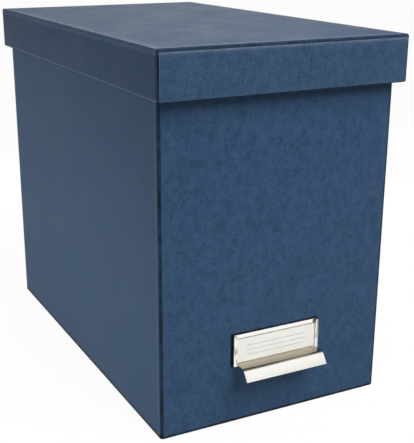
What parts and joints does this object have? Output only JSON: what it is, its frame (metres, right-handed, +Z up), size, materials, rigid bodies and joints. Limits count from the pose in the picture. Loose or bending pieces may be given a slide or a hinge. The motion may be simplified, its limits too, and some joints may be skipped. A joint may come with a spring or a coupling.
{
  "type": "file storage box",
  "caption": "Paper-covered fibreboard file box with a lift-off lid, a riveted metal label holder with a finger lip, and hanging files on end rails.",
  "frame": {"origin": "middle of the base's underside, on the surface that the box stands on", "axes": "+Z up, -Y out of the front face with the label holder, +X to the right of someone facing the front"},
  "size_m": [0.1906, 0.3431, 0.2701],
  "materials": {
    "cover_paper": "dark blue laminated paper, fine grain, low sheen",
    "fibreboard": "grey-brown solid fibreboard",
    "stay_tape": "gummed kraft tape",
    "lining_paper": "matt off-white lining",
    "underside_paper": "matt dark paper",
    "rail_steel": "satin zinc plate",
    "holder_nickel": "satin nickel plate",
    "rivet_steel": "nickel plate",
    "label_card": "white card with thin plain rules",
    "folder_card": "matt pressboard",
    "rod_steel": "bright flat steel",
    "tab_plastic": "clear moulded plastic",
    "insert_paper": "white paper strip"
  },
  "bodies": {
    "base": {"floor_board": "fibreboard", "front_wall_board": "fibreboard", "back_wall_board": "fibreboard", "left_wall_board": "fibreboard", "right_wall_board": "fibreboard", "base_corner_stays": "stay_tape", "base_cover": "cover_paper", "base_wall_lining": "lining_paper", "base_floor_lining": "lining_paper", "underside_sheet": "underside_paper", "front_rail": "rail_steel", "back_rail": "rail_steel", "label_holder": "holder_nickel", "holder_rivets": "rivet_steel", "rivet_washers": "rivet_steel"},
    "lid": {"lid_top_board": "fibreboard", "lid_front_skirt_board": "fibreboard", "lid_back_skirt_board": "fibreboard", "lid_left_skirt_board": "fibreboard", "lid_right_skirt_board": "fibreboard", "lid_corner_stays": "stay_tape", "lid_cover": "cover_paper", "lid_lining": "lining_paper"},
    "label_card": {"label_card": "label_card"},
    "file_1": {"file_1_folder": "folder_card", "file_1_left_rod": "rod_steel", "file_1_right_rod": "rod_steel", "file_1_tab": "tab_plastic", "file_1_tab_insert": "insert_paper"},
    "file_2": {"file_2_folder": "folder_card", "file_2_left_rod": "rod_steel", "file_2_right_rod": "rod_steel", "file_2_tab": "tab_plastic", "file_2_tab_insert": "insert_paper"},
    "file_3": {"file_3_folder": "folder_card", "file_3_left_rod": "rod_steel", "file_3_right_rod": "rod_steel", "file_3_tab": "tab_plastic", "file_3_tab_insert": "insert_paper"},
    "file_4": {"file_4_folder": "folder_card", "file_4_left_rod": "rod_steel", "file_4_right_rod": "rod_steel", "file_4_tab": "tab_plastic", "file_4_tab_insert": "insert_paper"},
    "file_5": {"file_5_folder": "folder_card", "file_5_left_rod": "rod_steel", "file_5_right_rod": "rod_steel", "file_5_tab": "tab_plastic", "file_5_tab_insert": "insert_paper"},
    "file_6": {"file_6_folder": "folder_card", "file_6_left_rod": "rod_steel", "file_6_right_rod": "rod_steel", "file_6_tab": "tab_plastic", "file_6_tab_insert": "insert_paper"}
  },
  "joints": [
    {"name": "lid_lift", "type": "slide", "parent": "base", "child": "lid", "axis": [0, 0, 1], "range_m": [0, 0.18]},
    {"name": "label_card_slide", "type": "slide", "parent": "base", "child": "label_card", "axis": [0, 0, 1], "range_m": [0, 0.025]},
    {"name": "file_1_slide", "type": "slide", "parent": "base", "child": "file_1", "axis": [1, 0, 0], "range_m": [-0.0065, 0.0065]},
    {"name": "file_2_slide", "type": "slide", "parent": "base", "child": "file_2", "axis": [1, 0, 0], "range_m": [-0.0065, 0.0065]},
    {"name": "file_3_slide", "type": "slide", "parent": "base", "child": "file_3", "axis": [1, 0, 0], "range_m": [-0.0065, 0.0065]},
    {"name": "file_4_slide", "type": "slide", "parent": "base", "child": "file_4", "axis": [1, 0, 0], "range_m": [-0.0065, 0.0065]},
    {"name": "file_5_slide", "type": "slide", "parent": "base", "child": "file_5", "axis": [1, 0, 0], "range_m": [-0.0065, 0.0065]},
    {"name": "file_6_slide", "type": "slide", "parent": "base", "child": "file_6", "axis": [1, 0, 0], "range_m": [-0.0065, 0.0065]}
  ]
}
